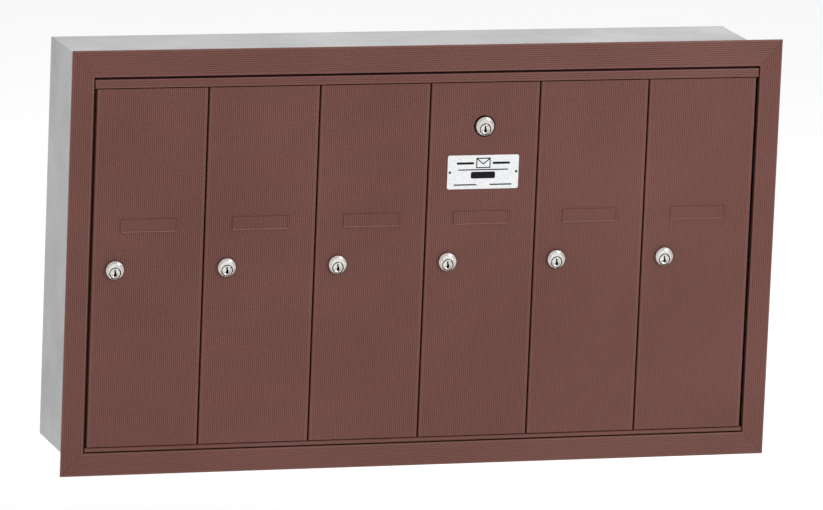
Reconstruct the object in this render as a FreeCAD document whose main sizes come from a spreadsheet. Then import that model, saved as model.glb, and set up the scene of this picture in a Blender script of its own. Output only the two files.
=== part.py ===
import FreeCAD, Part
import os
import re
import Sketcher

# Recessed vertical mailbox unit: an aluminium box behind a mitred trim frame, closed by one master panel
# that swings down on its bottom edge and carries six tall tenant doors, each with its own cam lock.
# Millimetres. Origin at the centre of the back face, front faces -Y, +Z up.

SIZES = [
    ("frame_wide", 902.0, "trim frame, over all"),
    ("frame_tall", 524.0, "trim frame, over all"),
    ("open_wide", 847.0, "clear opening inside the trim"),
    ("open_top", 229.5, "top edge of the opening"),
    ("open_low", -234.0, "bottom edge of the opening"),
    ("body_wide", 868.0, "sheet box, over all"),
    ("body_tall", 496.0, "sheet box, over all"),
    ("body_deep", 168.0, "back face to the wall side of the trim"),
    ("sheet", 1.6, "body sheet"),
    ("thin_sheet", 1.0, "divider sheet"),
    ("lip", 10.0, "turned lip on a body sheet"),
    ("divider_deep", 138.4, "divider, back panel to front edge"),
    ("trim_thick", 3.0, "trim flange"),
    ("bead_wide", 3.0, "thick inner edge of the trim"),
    ("bead_deep", 4.0, "how far the inner edge stands behind the flange"),
    ("leg_thick", 2.2, "trim leg inside the body"),
    ("leg_deep", 20.0, "trim leg, front to back"),
    ("unit_count", 6.0, "doors"),
    ("door_pitch", 140.0, "door to door"),
    ("door_gap", 2.0, "between doors"),
    ("door_front", 170.5, "front of the doors ahead of the back face"),
    ("door_top", 214.8, "top of the doors"),
    ("door_low", -226.3, "bottom of the doors"),
    ("skin", 2.2, "door thickness"),
    ("door_return", 10.0, "depth of the turned left edge"),
    ("return_thick", 2.0, "thickness of the turned left edge"),
    ("block_wide", 9.0, "hinge block along the right edge"),
    ("block_deep", 8.5, "hinge block, front to back"),
    ("hinge_inset", 5.5, "door hinge axis from the right edge and from the front"),
    ("edge_bevel", 1.5, "bevel at the hinge corner"),
    ("small_bevel", 0.8, "bevel at the lock side corner"),
    ("rail_top", 226.5, "top rail, upper edge"),
    ("rail_low", 216.0, "top rail, lower edge"),
    ("rail_wall", 2.0, "top rail front and back walls"),
    ("rail_floor", 2.5, "top rail floor"),
    ("rail_back", 157.5, "rear of both rails ahead of the back face"),
    ("rail_wide", 843.0, "rails, end to end"),
    ("barrel_r", 2.65, "bottom rail round nose"),
    ("axis_y", -168.35, "master hinge axis"),
    ("axis_z", -230.0, "master hinge axis"),
    ("upright_wide", 16.0, "mullion"),
    ("stile_wide", 17.0, "end stile"),
    ("upright_thick", 2.5, "mullions and stiles"),
    ("pin_r", 1.25, "hinge pin"),
    ("pin_long", 12.0, "hinge pin"),
    ("running", 0.05, "radial clearance of a turning fit"),
    ("lock_inset", 27.7, "lock axis from the left edge of its door"),
    ("lock_z", -6.9, "tenant lock flange"),
    ("flange_r", 11.75, "tenant lock flange"),
    ("flange_thick", 4.5, "tenant lock flange"),
    ("housing_r", 9.5, "lock barrel"),
    ("housing_drop", 1.2, "barrel axis below flange axis"),
    ("housing_back", 157.0, "rear of the tenant lock barrel ahead of the back face"),
    ("plug_drop", 3.4, "plug axis below flange axis"),
    ("plug_r", 6.3, "lock plug"),
    ("plug_inset", 0.3, "plug front behind flange front"),
    ("nut_flats", 24.0, "lock nut across flats"),
    ("nut_thick", 2.4, "lock nut"),
    ("tail", 5.0, "square tail of the plug"),
    ("cam_wide", 12.0, "cam"),
    ("cam_long", 28.0, "tenant cam, axis to tip"),
    ("cam_thick", 2.0, "cam"),
    ("cam_front", 154.5, "front of the tenant cam ahead of the back face"),
    ("screw_r", 4.4, "cam screw head"),
    ("screw_thick", 1.5, "cam screw head"),
    ("key_wide", 2.0, "keyway"),
    ("key_tall", 7.0, "keyway"),
    ("key_deep", 3.0, "keyway"),
    ("card_wide", 70.0, "card holder"),
    ("card_tall", 16.0, "card holder"),
    ("card_thick", 1.2, "card holder"),
    ("card_z", 47.0, "card holder centre"),
    ("label_wide", 91.0, "label plate"),
    ("label_tall", 42.0, "label plate"),
    ("label_thick", 0.8, "label plate"),
    ("label_z", 104.0, "label plate centre"),
    ("master_z", 161.0, "master lock flange centre"),
    ("master_r", 12.0, "master lock sleeve"),
    ("master_front", 174.0, "front of the master lock ahead of the back face"),
    ("master_hole_r", 13.5, "opening in its door for the master lock"),
    ("bracket_tall", 42.0, "master lock bracket"),
    ("bracket_thick", 2.5, "master lock bracket"),
    ("arm_front", 149.5, "front of the master cam ahead of the back face"),
    ("arm_long", 74.0, "master cam, axis to tip"),
    ("arm_thick", 2.5, "master cam"),
    ("strike_wide", 40.0, "strike"),
    ("strike_low", 218.0, "lower edge of the strike"),
    ("strike_thick", 2.0, "strike"),
    ("strike_gap", 0.5, "strike ahead of the master cam"),
    ("strike_foot", 16.0, "front of the strike foot ahead of the rear of the trim leg"),
    ("rivet_r", 1.6, "rivet shank"),
    ("rivet_head_r", 3.2, "rivet head"),
    ("rivet_head", 1.0, "rivet head height"),
    ("screw_hole_r", 2.75, "holes for the fixing screws"),
    ("side_hole_y", -130.0, "side fixing holes, from the back face"),
    ("side_hole_z", 150.0, "side fixing holes above and below the middle"),
    ("back_hole_x", 350.0, "back fixing holes either side of the middle"),
    ("back_hole_z", 140.0, "back fixing holes above and below the middle"),
]

doc = FreeCAD.newDocument("mailbox_unit")
sheet = doc.addObject("Spreadsheet::Sheet", "sizes")
for row, (alias, number, note) in enumerate(SIZES, start=1):
    sheet.set(f"A{row}", alias)
    sheet.set(f"B{row}", str(number))
    sheet.set(f"C{row}", note)
    sheet.setAlias(f"B{row}", alias)
spare = doc.addObject("Spreadsheet::Sheet", "spare_cell")
doc.recompute()

PLANES = {"XY": "XY_Plane", "XZ": "XZ_Plane", "YZ": "YZ_Plane"}
nodes = []


def linked(text):
    """An expression on the sheet, from one written with bare size names."""
    return re.sub(r"[a-z]\w*", lambda word: "sizes." + word.group(), text)


def value(text):
    """What a text of bare size names comes to, worked out in a spare cell."""
    spare.set("A1", "=" + linked(text))
    spare.recompute()
    return float(spare.get("A1"))


def new_body(label):
    body = doc.addObject("PartDesign::Body", label)
    body.Label = label
    return body


def keep(part, shift_x="0"):
    """Counts a finished sub-part as a node and sets it in its place."""
    part.setExpression("Placement.Base.x", linked(shift_x))
    nodes.append(part)
    return part


def sketch_on(body, plane, offset):
    """XY looks along +Z, YZ along +X and XZ along -Y: offset is measured that way."""
    sketch = body.newObject("Sketcher::SketchObject", body.Name + "_sketch")
    role = PLANES[plane]
    face = next(item for item in body.Origin.OriginFeatures if item.Role == role)
    sketch.AttachmentSupport = [(face, "")]
    sketch.MapMode = "FlatFace"
    sketch.setExpression("AttachmentOffset.Base.z", linked(offset))
    return sketch


def pin_point(sketch, element, point, across, up):
    """Ties one sketch point to two sheet expressions."""
    for kind, text in (("DistanceX", across), ("DistanceY", up)):
        number = sketch.addConstraint(
            Sketcher.Constraint(kind, -1, 1, element, point, value(text))
        )
        sketch.setExpression(f"Constraints[{number}]", linked(text))


def outline(sketch, points):
    corners = [FreeCAD.Vector(value(across), value(up), 0) for across, up in points]
    first = sketch.GeometryCount
    for index, corner in enumerate(corners):
        following = corners[(index + 1) % len(corners)]
        sketch.addGeometry(Part.LineSegment(corner, following), False)
    for index, (across, up) in enumerate(points):
        following = first + (index + 1) % len(points)
        sketch.addConstraint(Sketcher.Constraint("Coincident", first + index, 2, following, 1))
        pin_point(sketch, first + index, 1, across, up)


def circle(sketch, across, up, radius):
    centre = FreeCAD.Vector(value(across), value(up), 0)
    normal = FreeCAD.Vector(0, 0, 1)
    element = sketch.addGeometry(Part.Circle(centre, normal, value(radius)), False)
    pin_point(sketch, element, 3, across, up)
    number = sketch.addConstraint(Sketcher.Constraint("Radius", element, value(radius)))
    sketch.setExpression(f"Constraints[{number}]", linked(radius))


def pad(body, sketch, length):
    feature = body.newObject("PartDesign::Pad", body.Name + "_pad")
    feature.Profile = sketch
    feature.setExpression("Length", linked(length))
    sketch.Visibility = False
    return feature


def cut(body, sketch, length):
    """Cuts the same way the plane looks."""
    feature = body.newObject("PartDesign::Pocket", body.Name + "_pocket")
    feature.Profile = sketch
    feature.Reversed = True
    feature.setExpression("Length", linked(length))
    sketch.Visibility = False
    return feature


def block(body, x, y, z):
    """A rectangular piece between two values on each axis, lower value first."""
    sketch = sketch_on(body, "XZ", f"0 - ({y[1]})")
    outline(sketch, [(x[0], z[0]), (x[1], z[0]), (x[1], z[1]), (x[0], z[1])])
    return pad(body, sketch, f"({y[1]}) - ({y[0]})")


def holes(body, plane, start, length, centres, radius):
    sketch = sketch_on(body, plane, start)
    for across, up in centres:
        circle(sketch, across, up, radius)
    return cut(body, sketch, length)


def rods(body, plane, start, length, centres, radius):
    sketch = sketch_on(body, plane, start)
    for across, up in centres:
        circle(sketch, across, up, radius)
    return pad(body, sketch, length)


BODY_X = "body_wide / 2"
BODY_Z = "body_tall / 2"
INNER_X = "(body_wide / 2 - sheet)"
INNER_Z = "(body_tall / 2 - sheet)"
OPEN_X = "open_wide / 2"
DIVIDERS = [f"door_pitch * ({number} - unit_count / 2)" for number in range(1, 6)]
DOOR_CENTRES = [f"door_pitch * ({number} - unit_count / 2 + 0.5)" for number in range(6)]

# Where the rivets go: across the top and bottom, up the sides, and round the back lips.
ACROSS = [f"body_wide * {part}" for part in (-0.45, -0.27, -0.09, 0.09, 0.27, 0.45)]
UP = [f"body_tall * {part}" for part in (-0.4, -0.14, 0.14, 0.4)]
FRONT_ROW = "0 - body_deep + leg_deep / 2"
LIP_X = "(body_wide / 2 - sheet - lip / 2)"
LIP_Z = "(body_tall / 2 - sheet - lip / 2)"
TOP_ROW = [(across, FRONT_ROW) for across in ACROSS]
SIDE_ROW = [(FRONT_ROW, up) for up in UP]
BACK_TOP = [(across, LIP_Z) for across in ACROSS]
BACK_LOW = [(across, "0 - " + LIP_Z) for across in ACROSS]
BACK_LEFT = [("0 - " + LIP_X, up) for up in UP]
BACK_RIGHT = [(LIP_X, up) for up in UP]
DIVIDER_ROW = [(f"{x} + thin_sheet / 2 + lip / 2", up) for x in DIVIDERS for up in UP]
SIDE_SCREWS = [("side_hole_y", f"0 {sign} side_hole_z") for sign in "+-"]
BACK_SCREWS = [(f"0 {a} back_hole_x", f"0 {b} back_hole_z") for a in "+-" for b in "+-"]
RIVET_HOLE = "rivet_r + running"


def make_wrap():
    """Left side, top and right side of the box, folded from one sheet."""
    body = new_body("body_wrap")
    sketch = sketch_on(body, "XZ", "sheet")
    left, right = "0 - " + BODY_X, BODY_X
    low, high = "0 - " + BODY_Z, BODY_Z
    outline(
        sketch,
        [
            (left, low),
            (left, high),
            (right, high),
            (right, low),
            (INNER_X, low),
            (INNER_X, INNER_Z),
            ("0 - " + INNER_X, INNER_Z),
            ("0 - " + INNER_X, low),
        ],
    )
    pad(body, sketch, "body_deep - sheet")
    behind = ("0 - 2 * sheet", "0 - sheet")
    block(body, ("lip - " + INNER_X, INNER_X + " - lip"), behind, (INNER_Z + " - lip", INNER_Z))
    tall = ("lip * 1.5 - " + INNER_Z, INNER_Z + " - lip * 1.5")
    block(body, ("0 - " + INNER_X, "lip - " + INNER_X), behind, tall)
    block(body, (INNER_X + " - lip", INNER_X), behind, tall)
    for start in ("0 - " + BODY_X + " - 1", INNER_X + " - 1"):
        holes(body, "YZ", start, "sheet + 2", SIDE_ROW, RIVET_HOLE)
        holes(body, "YZ", start, "sheet + 2", SIDE_SCREWS, "screw_hole_r")
    holes(body, "XY", INNER_Z + " - 1", "sheet + 2", TOP_ROW, RIVET_HOLE)
    holes(body, "XZ", "sheet - 1", "sheet + 2", BACK_TOP + BACK_LEFT + BACK_RIGHT, RIVET_HOLE)
    keep(body)


def make_bottom():
    body = new_body("body_bottom_panel")
    across = ("0 - " + INNER_X, INNER_X)
    floor = ("0 - " + BODY_Z, "0 - " + INNER_Z)
    block(body, across, ("0 - body_deep", "0 - sheet"), floor)
    lip_z = ("0 - " + INNER_Z, "lip - " + INNER_Z)
    block(body, ("lip - " + INNER_X, INNER_X + " - lip"), ("0 - 2 * sheet", "0 - sheet"), lip_z)
    side_y = ("leg_deep + 6 - body_deep", "0 - lip")
    block(body, ("0 - " + INNER_X, "sheet - " + INNER_X), side_y, lip_z)
    block(body, (INNER_X + " - sheet", INNER_X), side_y, lip_z)
    holes(body, "XY", "0 - " + BODY_Z + " - 1", "sheet + 2", TOP_ROW, RIVET_HOLE)
    holes(body, "XZ", "sheet - 1", "sheet + 2", BACK_LOW, RIVET_HOLE)
    keep(body)


def make_back():
    body = new_body("body_back_panel")
    block(body, ("0 - " + BODY_X, BODY_X), ("0 - sheet", "0"), ("0 - " + BODY_Z, BODY_Z))
    edge = BACK_TOP + BACK_LOW + BACK_LEFT + BACK_RIGHT
    holes(body, "XZ", "0 - 1", "sheet + 2", edge + DIVIDER_ROW, RIVET_HOLE)
    holes(body, "XZ", "0 - 1", "sheet + 2", BACK_SCREWS, "screw_hole_r")
    keep(body)


def make_divider(number, x):
    """A partition between two compartments, turned along its back edge."""
    body = new_body(f"divider_{number}")
    wall = ("0 - thin_sheet / 2", "thin_sheet / 2")
    clear_z = ("0.2 - " + INNER_Z, INNER_Z + " - 0.2")
    short_z = ("lip * 1.1 - " + INNER_Z, INNER_Z + " - lip * 1.1")
    front = "0 - sheet - divider_deep"
    block(body, wall, (front, "0 - 2 * sheet - 0.2"), clear_z)
    block(body, wall, ("0 - 2 * sheet - 0.2", "0 - sheet"), short_z)
    lip_x = ("thin_sheet / 2", "thin_sheet / 2 + lip")
    block(body, lip_x, ("0 - sheet - thin_sheet", "0 - sheet"), short_z)
    centres = [("thin_sheet / 2 + lip / 2", up) for up in UP]
    holes(body, "XZ", "sheet - 1", "thin_sheet + 2", centres, RIVET_HOLE)
    keep(body, x)


def make_rivets():
    """Rivets of the box: round heads outside on the sides, top and bottom, inside at the back."""
    body = new_body("body_rivets")
    body.AllowCompound = True
    through = "sheet + leg_thick"
    head = "rivet_head"
    for plane, centres, half in (("YZ", SIDE_ROW, BODY_X), ("XY", TOP_ROW, BODY_Z)):
        rods(body, plane, half + " - " + "(" + through + ")", through, centres, "rivet_r")
        rods(body, plane, half, head, centres, "rivet_head_r")
        rods(body, plane, "0 - " + half, through, centres, "rivet_r")
        rods(body, plane, "0 - " + half + " - rivet_head", head, centres, "rivet_head_r")
    lips = BACK_TOP + BACK_LOW + BACK_LEFT + BACK_RIGHT
    rods(body, "XZ", "0", "2 * sheet", lips, "rivet_r")
    rods(body, "XZ", "2 * sheet", head, lips, "rivet_head_r")
    rods(body, "XZ", "0", "sheet + thin_sheet", DIVIDER_ROW, "rivet_r")
    rods(body, "XZ", "sheet + thin_sheet", head, DIVIDER_ROW, "rivet_head_r")
    keep(body)


def make_trim(name, corners, bead, leg):
    """One mitred trim member: flange, thick inner edge and a leg that goes inside the box."""
    body = new_body(name)
    sketch = sketch_on(body, "XZ", "body_deep")
    outline(sketch, corners)
    pad(body, sketch, "trim_thick")
    block(body, bead[0], ("0 - body_deep", "bead_deep - body_deep"), bead[1])
    block(body, leg[0], ("0 - body_deep", "leg_deep - body_deep"), leg[1])
    return body


def make_trims():
    out_x, out_z = "frame_wide / 2", "frame_tall / 2"
    top_corners = [
        ("0 - " + out_x, out_z),
        (out_x, out_z),
        (OPEN_X, "open_top"),
        ("0 - " + OPEN_X, "open_top"),
    ]
    low_corners = [
        ("0 - " + out_x, "0 - " + out_z),
        (out_x, "0 - " + out_z),
        (OPEN_X, "open_low"),
        ("0 - " + OPEN_X, "open_low"),
    ]
    between = ("0 - " + OPEN_X, OPEN_X)
    leg_x = ("lip / 2 - " + OPEN_X, OPEN_X + " - lip / 2")
    top_leg = (INNER_Z + " - leg_thick", INNER_Z)
    low_leg = ("0 - " + INNER_Z, "leg_thick - " + INNER_Z)
    top = make_trim(
        "trim_top", top_corners, (between, ("open_top", "open_top + bead_wide")), (leg_x, top_leg)
    )
    holes(top, "XY", INNER_Z + " - leg_thick - 1", "leg_thick + 2", TOP_ROW, RIVET_HOLE)
    keep(top)
    low = make_trim(
        "trim_bottom", low_corners, (between, ("open_low - bead_wide", "open_low")), (leg_x, low_leg)
    )
    holes(low, "XY", "0 - " + INNER_Z + " - 1", "leg_thick + 2", TOP_ROW, RIVET_HOLE)
    keep(low)
    bead_z = ("open_low - bead_wide", "open_top + bead_wide")
    leg_z = ("lip - " + INNER_Z, INNER_Z + " - lip")
    for name, sign in (("trim_left", "0 - "), ("trim_right", "0 + ")):
        corners = [
            (sign + out_x, "0 - " + out_z),
            (sign + out_x, out_z),
            (sign + OPEN_X, "open_top"),
            (sign + OPEN_X, "open_low"),
        ]
        spans = [
            (sign + OPEN_X, f"{sign}({OPEN_X} + bead_wide)"),
            (f"{sign}({INNER_X} - leg_thick)", f"{sign}{INNER_X}"),
        ]
        if name == "trim_left":
            spans = [(outer, inner) for inner, outer in spans]
        body = make_trim(name, corners, (spans[0], bead_z), (spans[1], leg_z))
        holes(body, "YZ", spans[1][0] + " - 1", "leg_thick + 2", SIDE_ROW, RIVET_HOLE)
        bore = OPEN_X + " - 1" if name == "trim_right" else f"0 - ({OPEN_X} + bead_wide - 0.2)"
        centre = [("axis_y", "axis_z")]
        holes(body, "YZ", bore, "bead_wide + 0.8", centre, "pin_r + running")
        keep(body)


def make_strike():
    """The plate under the top trim that the master cam turns up behind."""
    body = new_body("master_strike")
    across = ("0 - strike_wide / 2", "strike_wide / 2")
    ceiling = INNER_Z + " - leg_thick"
    back = "0 - strike_gap - arm_front"
    block(body, across, (f"{back} - strike_thick", back), ("strike_low", ceiling))
    foot_y = ("leg_deep - body_deep - strike_foot", f"{back} - strike_thick")
    block(body, across, foot_y, (f"{ceiling} - strike_thick", ceiling))
    keep(body, DOOR_CENTRES[3])


def make_rails():
    half = "rail_wide / 2"
    top = new_body("master_top_rail")
    front, back = "0 - door_front", "0 - rail_back"
    sketch = sketch_on(top, "YZ", "0 - " + half)
    outline(
        sketch,
        [
            (front, "rail_low"),
            (back, "rail_low"),
            (back, "rail_top"),
            (back + " - rail_wall", "rail_top"),
            (back + " - rail_wall", "rail_low + rail_floor"),
            (front + " + rail_wall", "rail_low + rail_floor"),
            (front + " + rail_wall", "rail_top"),
            (front, "rail_top"),
        ],
    )
    pad(top, sketch, "rail_wide")
    hinges = [(f"{x} + door_pitch / 2 - door_gap / 2 - hinge_inset", "hinge_inset - door_front")
              for x in DOOR_CENTRES]
    holes(top, "XY", "rail_low - 1", "rail_floor + 2", hinges, "pin_r")
    keep(top)
    low = new_body("master_bottom_rail")
    rods(low, "YZ", "0 - " + half, "rail_wide", [("axis_y", "axis_z")], "barrel_r")
    high_z, low_z = "axis_z + barrel_r", "axis_z - barrel_r"
    block(low, ("0 - " + half, half), ("axis_y", back), (low_z, high_z))
    holes(low, "XY", "pin_base", "pin_long", hinges, "pin_r")
    for start in ("0 - " + half, f"{half} - pin_hold"):
        holes(low, "YZ", start, "pin_hold", [("axis_y", "axis_z")], "pin_r")
    keep(low)
    return hinges


def make_uprights():
    tall = ("axis_z - barrel_r", "rail_top - 0.5")
    deep = ("0 - rail_back", "upright_thick - rail_back")
    for number, x in enumerate(DIVIDERS, start=1):
        body = new_body(f"master_mullion_{number}")
        block(body, ("0 - upright_wide / 2", "upright_wide / 2"), deep, tall)
        keep(body, x)
    for name, sign in (("master_left_stile", "0 - "), ("master_right_stile", "0 + ")):
        body = new_body(name)
        block(body, ("0 - stile_wide / 2", "stile_wide / 2"), deep, tall)
        keep(body, f"{sign}(rail_wide / 2 - stile_wide / 2)")


def make_pins(hinges):
    """Fourteen like pins: two for each tenant door and one at each end of the bottom rail."""
    body = new_body("master_hinge_pins")
    body.AllowCompound = True
    rods(body, "XY", "rail_low + rail_floor + 1 - pin_long", "pin_long", hinges, "pin_r")
    rods(body, "XY", "pin_base", "pin_long", hinges, "pin_r")
    half = "rail_wide / 2"
    centre = [("axis_y", "axis_z")]
    rods(body, "YZ", f"{half} - pin_hold", "pin_long", centre, "pin_r")
    rods(body, "YZ", f"pin_hold - {half} - pin_long", "pin_long", centre, "pin_r")
    keep(body)


def make_door(number, x):
    """One tenant door: an extruded skin with a turned left edge and a hinge block on the right."""
    body = new_body(f"door_{number}_panel")
    edge = "(door_pitch / 2 - door_gap / 2)"
    front = "0 - door_front"
    inside = "skin - door_front"
    sketch = sketch_on(body, "XY", "door_low")
    outline(
        sketch,
        [
            ("small_bevel - " + edge, front),
            (edge + " - edge_bevel", front),
            (edge, "edge_bevel - door_front"),
            (edge, "block_deep - door_front"),
            (edge + " - block_wide", "block_deep - door_front"),
            (edge + " - block_wide", inside),
            ("return_thick - " + edge, inside),
            ("return_thick - " + edge, "door_return - door_front"),
            ("0 - " + edge, "door_return - door_front"),
            ("0 - " + edge, "small_bevel - door_front"),
        ],
    )
    tall = "door_top - door_low"
    pad(body, sketch, tall)
    hinge = (edge + " - hinge_inset", "hinge_inset - door_front")
    holes(body, "XY", "door_low - 1", f"{tall} + 2", [hinge], "pin_r + running")
    lock = ("lock_inset - " + edge, "lock_z - housing_drop")
    through = "skin + 2"
    holes(body, "XZ", "door_front - skin - 1", through, [lock], "housing_r + running")
    if number == 4:
        holes(body, "XZ", "door_front - skin - 1", through, [("0", "master_z")], "master_hole_r")
    keep(body, x)


def hex_points(across, up, flats):
    """Corners of a hexagon with two corners level."""
    half, rise = f"({flats} / 1.7320508)", f"({flats} / 2)"
    return [
        (f"{across} + {half}", up),
        (f"{across} + {half} / 2", f"{up} + {rise}"),
        (f"{across} - {half} / 2", f"{up} + {rise}"),
        (f"{across} - {half}", up),
        (f"{across} - {half} / 2", f"{up} - {rise}"),
        (f"{across} + {half} / 2", f"{up} - {rise}"),
    ]


def make_housing(name, at, shift, sizes):
    """A lock barrel with its flange, and the nut that holds it, as one node of two solids."""
    x, flange_z = at
    barrel = (x, f"{flange_z} - housing_drop")
    plug = (x, f"{flange_z} - plug_drop")
    body = new_body(name + "_barrel")
    front, seat, back, flange = sizes["front"], sizes["seat"], sizes["back"], sizes["radius"]
    rods(body, "XZ", seat, f"{front} - {seat}", [(x, flange_z)], flange)
    rods(body, "XZ", back, f"{seat} - {back}", [barrel], "housing_r")
    holes(body, "XZ", f"{back} - 1", f"{front} - {back} + 2", [plug], "plug_r + running")
    nut = new_body(name + "_nut")
    sketch = sketch_on(nut, "XZ", sizes["nut"])
    outline(sketch, hex_points(barrel[0], barrel[1], "nut_flats"))
    circle(sketch, barrel[0], barrel[1], "housing_r")
    pad(nut, sketch, "nut_thick")
    group = doc.addObject("Part::Compound", name)
    group.Label = name
    group.Links = [body, nut]
    keep(group, shift)


def make_plug(name, at, shift, front, cam_front, cam_thick):
    """The turning plug: keyway in front, square tail and cam screw behind."""
    x, flange_z = at
    plug = (x, f"({flange_z} - plug_drop)")
    body = new_body(name)
    rods(body, "XZ", cam_front, f"{front} - plug_inset - {cam_front}", [plug], "plug_r")
    behind = f"0 - {cam_front}"
    square_x = (f"{x} - tail / 2", f"{x} + tail / 2")
    square_z = (f"{plug[1]} - tail / 2", f"{plug[1]} + tail / 2")
    block(body, square_x, (behind, f"{behind} + {cam_thick}"), square_z)
    screw = f"{cam_front} - {cam_thick} - screw_thick"
    rods(body, "XZ", screw, "screw_thick", [plug], "screw_r")
    sketch = sketch_on(body, "XZ", f"{front} - plug_inset - key_deep")
    side = ("key_wide / 2", "key_tall / 2")
    outline(
        sketch,
        [
            (f"{x} - {side[0]}", f"{plug[1]} - {side[1]}"),
            (f"{x} + {side[0]}", f"{plug[1]} - {side[1]}"),
            (f"{x} + {side[0]}", f"{plug[1]} + {side[1]}"),
            (f"{x} - {side[0]}", f"{plug[1]} + {side[1]}"),
        ],
    )
    cut(body, sketch, "key_deep + 1")
    keep(body, shift)


def make_cam(name, at, shift, cam_front, cam_thick, reach):
    """A flat cam on the square tail; reach gives its x and z spans from the plug axis."""
    x, flange_z = at
    z = f"({flange_z} - plug_drop)"
    body = new_body(name)
    deep = (f"0 - {cam_front}", f"{cam_thick} - {cam_front}")
    block(body, (f"{x} {reach[0]}", f"{x} {reach[1]}"), deep, (f"{z} {reach[2]}", f"{z} {reach[3]}"))
    sketch = sketch_on(body, "XZ", f"{cam_front} - {cam_thick} - 1")
    outline(
        sketch,
        [
            (f"{x} - tail / 2", f"{z} - tail / 2"),
            (f"{x} + tail / 2", f"{z} - tail / 2"),
            (f"{x} + tail / 2", f"{z} + tail / 2"),
            (f"{x} - tail / 2", f"{z} + tail / 2"),
        ],
    )
    cut(body, sketch, f"{cam_thick} + 2")
    keep(body, shift)


def make_tenant(number, x):
    make_door(number, x)
    at = ("(lock_inset - door_pitch / 2 + door_gap / 2)", "lock_z")
    front = "(door_front + flange_thick)"
    sizes = {
        "front": front,
        "seat": "door_front",
        "back": "housing_back",
        "radius": "flange_r",
        "nut": "door_front - skin - nut_thick",
    }
    make_housing(f"lock_{number}_housing", at, x, sizes)
    make_plug(f"lock_{number}_plug", at, x, front, "cam_front", "cam_thick")
    reach = ("- cam_wide / 2", "+ cam_wide / 2", "- cam_long", "+ cam_wide / 2")
    make_cam(f"lock_{number}_cam", at, x, "cam_front", "cam_thick", reach)
    card = new_body(f"card_holder_{number}")
    ahead = ("0 - door_front - card_thick", "0 - door_front")
    tall = ("card_z - card_tall / 2", "card_z + card_tall / 2")
    block(card, ("0 - card_wide / 2", "card_wide / 2"), ahead, tall)
    keep(card, x)


def make_label(x):
    plate = new_body("label_plate")
    ahead = ("0 - door_front - label_thick", "0 - door_front")
    tall = ("label_z - label_tall / 2", "label_z + label_tall / 2")
    block(plate, ("0 - label_wide / 2", "label_wide / 2"), ahead, tall)
    keep(plate, x)
    rivets = new_body("label_rivets")
    rivets.AllowCompound = True
    ends = [("3 - label_wide / 2", "label_z"), ("label_wide / 2 - 3", "label_z")]
    rods(rivets, "XZ", "door_front + label_thick", "label_thick / 2", ends, "rivet_r")
    keep(rivets, x)


def make_master_lock(x):
    bracket = new_body("master_lock_bracket")
    wide = ("0 - door_pitch / 2 - upright_wide / 2", "door_pitch / 2 + upright_wide / 2")
    seat = "(rail_back - upright_thick)"
    deep = (f"0 - {seat}", f"bracket_thick - {seat}")
    tall = ("master_z - bracket_tall / 2", "master_z + bracket_tall / 2")
    block(bracket, wide, deep, tall)
    centre = [("0", "master_z - housing_drop")]
    start = f"{seat} - bracket_thick - 1"
    holes(bracket, "XZ", start, "bracket_thick + 2", centre, "housing_r + running")
    keep(bracket, x)
    at = ("0", "master_z")
    sizes = {
        "front": "master_front",
        "seat": seat,
        "back": "(arm_front + 0.5)",
        "radius": "master_r",
        "nut": f"{seat} - bracket_thick - nut_thick",
    }
    make_housing("master_lock_housing", at, x, sizes)
    make_plug("master_lock_plug", at, x, "master_front", "arm_front", "arm_thick")
    reach = ("- arm_long", "+ cam_wide / 2", "- cam_wide / 2", "+ cam_wide / 2")
    make_cam("master_lock_cam", at, x, "arm_front", "arm_thick", reach)


for row, (alias, text, note) in enumerate(
    [
        ("pin_base", "=axis_z - barrel_r + 0.65", "lower end of the bottom door pins"),
        ("pin_hold", "=pin_long - (open_wide - rail_wide) / 2 - 2.6", "end pin inside the rail"),
    ],
    start=len(SIZES) + 1,
):
    sheet.set(f"A{row}", alias)
    sheet.set(f"B{row}", text)
    sheet.set(f"C{row}", note)
    sheet.setAlias(f"B{row}", alias)
doc.recompute()

make_wrap()
make_bottom()
make_back()
for number, x in enumerate(DIVIDERS, start=1):
    make_divider(number, x)
make_rivets()
make_trims()
make_strike()
door_hinges = make_rails()
make_uprights()
make_pins(door_hinges)
for number, x in enumerate(DOOR_CENTRES, start=1):
    make_tenant(number, x)
make_label(DOOR_CENTRES[3])
make_master_lock(DOOR_CENTRES[3])

doc.recompute()
for item in doc.Objects:
    if "Invalid" in item.State or "Error" in item.State:
        raise RuntimeError(f"{item.Label} did not recompute")

os.makedirs("parts", exist_ok=True)
for part in nodes:
    if part.Shape.isNull() or not part.Shape.isValid():
        raise RuntimeError(f"{part.Label} has no valid shape")
    part.Shape.exportStep(f"parts/{part.Label}.step")
    box = part.Shape.BoundBox
    print(
        part.Label,
        len(part.Shape.Solids),
        [round(number, 2) for number in (box.XMin, box.XMax, box.YMin, box.YMax, box.ZMin, box.ZMax)],
        round(part.Shape.Volume, 1),
    )
print(len(nodes), "nodes")
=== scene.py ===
import math

import bmesh
import bpy
from mathutils import Matrix, Vector


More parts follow.
